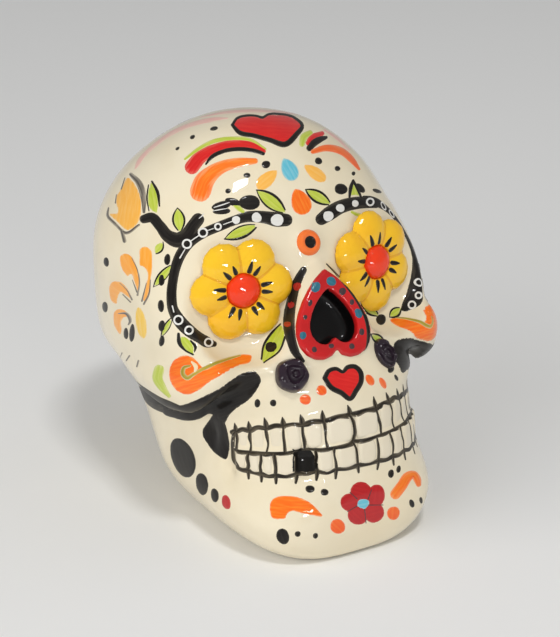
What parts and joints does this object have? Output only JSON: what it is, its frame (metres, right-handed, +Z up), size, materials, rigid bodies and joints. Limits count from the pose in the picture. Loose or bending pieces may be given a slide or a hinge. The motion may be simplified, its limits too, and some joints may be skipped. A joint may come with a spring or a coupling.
{
  "type": "sugar skull",
  "caption": "Hollow glazed ceramic sugar skull with flower eyes, a heart nose, clay roses and tooth tiles on a flat foot, a free-standing seasonal table decoration.",
  "frame": {"origin": "middle of the outline box, on the flat foot", "axes": "+Z up, the face looks along -Y, +X towards the skull's left"},
  "size_m": [0.089, 0.112, 0.1135],
  "materials": {
    "ivory_glaze": "clear gloss glaze over cream earthenware with underglaze painting",
    "yellow_glaze": "clear gloss glaze over brushed yellow underglaze",
    "vermilion_glaze": "clear gloss glaze over red-orange underglaze",
    "red_glaze": "clear gloss glaze over red underglaze with pale dots",
    "tooth_glaze": "clear gloss glaze over cream earthenware, outlined in dark brown",
    "orange_glaze": "clear gloss glaze over orange underglaze",
    "plum_glaze": "clear gloss glaze over purple-black underglaze"
  },
  "bodies": {
    "root": {"skull_shell": "ivory_glaze", "right_eye_petal_1": "yellow_glaze", "right_eye_petal_2": "yellow_glaze", "right_eye_petal_3": "yellow_glaze", "right_eye_petal_4": "yellow_glaze", "right_eye_petal_5": "yellow_glaze", "right_eye_petal_6": "yellow_glaze", "right_eye_flower_center": "vermilion_glaze", "left_eye_petal_1": "yellow_glaze", "left_eye_petal_2": "yellow_glaze", "left_eye_petal_3": "yellow_glaze", "left_eye_petal_4": "yellow_glaze", "left_eye_petal_5": "yellow_glaze", "left_eye_petal_6": "yellow_glaze", "left_eye_flower_center": "vermilion_glaze", "nose_heart_rim": "red_glaze", "upper_right_tooth_1": "tooth_glaze", "upper_right_tooth_2": "tooth_glaze", "upper_right_tooth_3": "tooth_glaze", "upper_right_tooth_4": "tooth_glaze", "upper_right_tooth_5": "tooth_glaze", "upper_right_tooth_6": "tooth_glaze", "upper_right_tooth_7": "tooth_glaze", "upper_left_tooth_1": "tooth_glaze", "upper_left_tooth_2": "tooth_glaze", "upper_left_tooth_3": "tooth_glaze", "upper_left_tooth_4": "tooth_glaze", "upper_left_tooth_5": "tooth_glaze", "upper_left_tooth_6": "tooth_glaze", "upper_left_tooth_7": "tooth_glaze", "lower_right_tooth_1": "tooth_glaze", "lower_right_tooth_2": "tooth_glaze", "lower_right_tooth_4": "tooth_glaze", "lower_right_tooth_5": "tooth_glaze", "lower_right_tooth_6": "tooth_glaze", "lower_right_tooth_7": "tooth_glaze", "lower_left_tooth_1": "tooth_glaze", "lower_left_tooth_2": "tooth_glaze", "lower_left_tooth_3": "tooth_glaze", "lower_left_tooth_4": "tooth_glaze", "lower_left_tooth_5": "tooth_glaze", "lower_left_tooth_6": "tooth_glaze", "lower_left_tooth_7": "tooth_glaze", "forehead_boss": "orange_glaze", "right_rose": "plum_glaze", "left_rose": "plum_glaze"}
  },
  "joints": []
}
